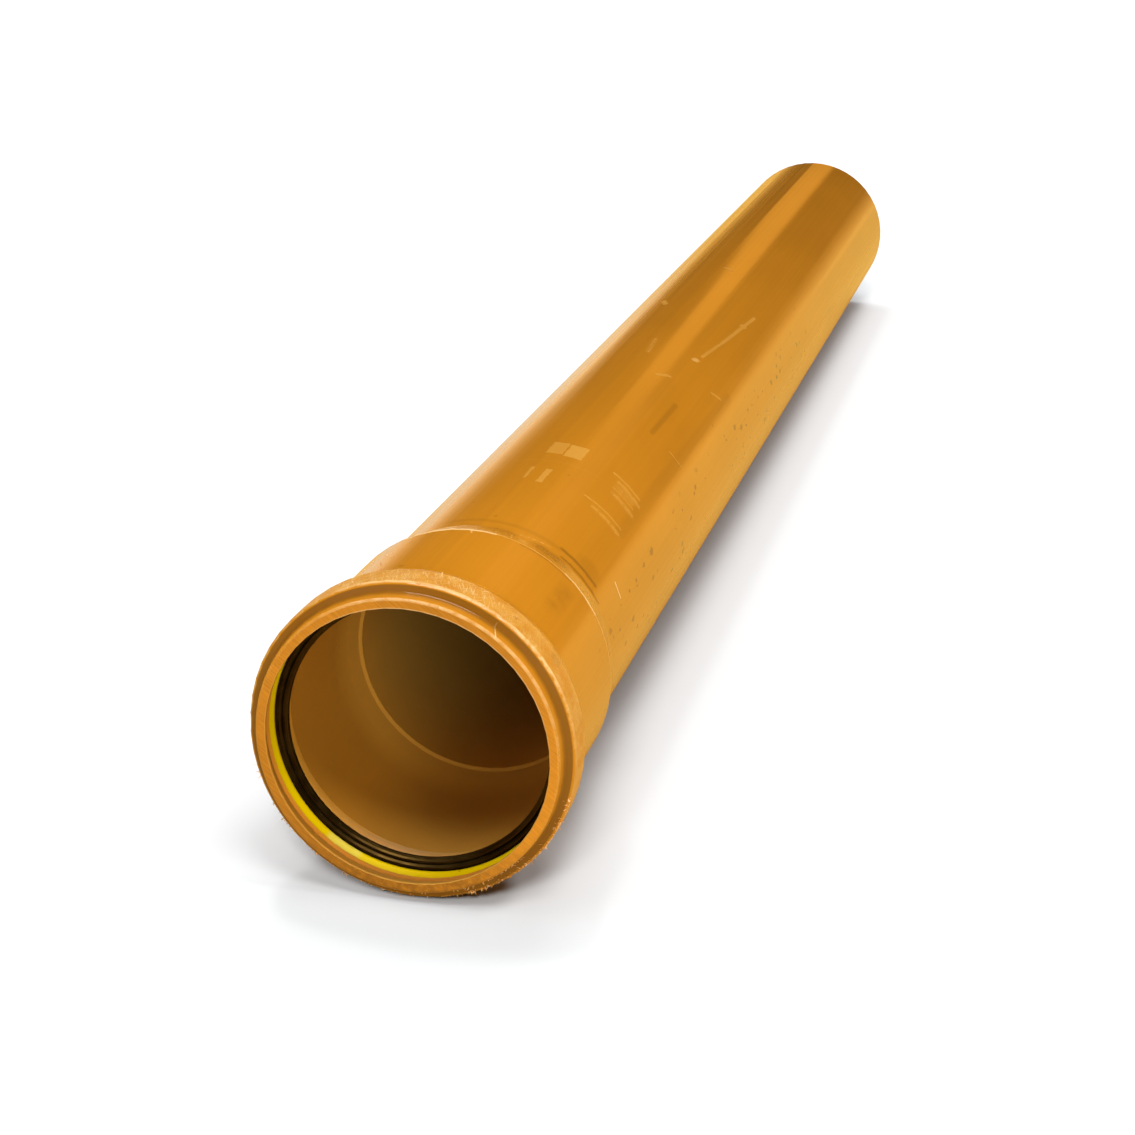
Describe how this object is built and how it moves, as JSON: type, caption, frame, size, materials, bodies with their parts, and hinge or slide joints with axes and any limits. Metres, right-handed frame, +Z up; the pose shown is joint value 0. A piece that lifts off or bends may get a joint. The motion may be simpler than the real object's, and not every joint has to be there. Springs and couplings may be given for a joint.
{
  "type": "cable protection pipe",
  "caption": "Orange smooth-wall plastic cable protection pipe with a push-in socket, a lip seal in its bead and a yellow retaining ring, lying on its side.",
  "frame": {"origin": "middle of the object's box on the floor it lies on", "axes": "+Y along the pipe from the socket's mouth to the spigot end, +Z up, +X to the right when looking into the mouth"},
  "size_m": [0.1284, 1.061, 0.1284],
  "materials": {
    "pipe_plastic": "satin orange PVC-U, extruded, lightly scuffed",
    "seal_rubber": "matt black moulded rubber",
    "ring_plastic": "smooth yellow moulded plastic"
  },
  "bodies": {
    "root": {"pipe": "pipe_plastic", "seal_ring": "seal_rubber", "retaining_ring": "ring_plastic"}
  },
  "joints": []
}
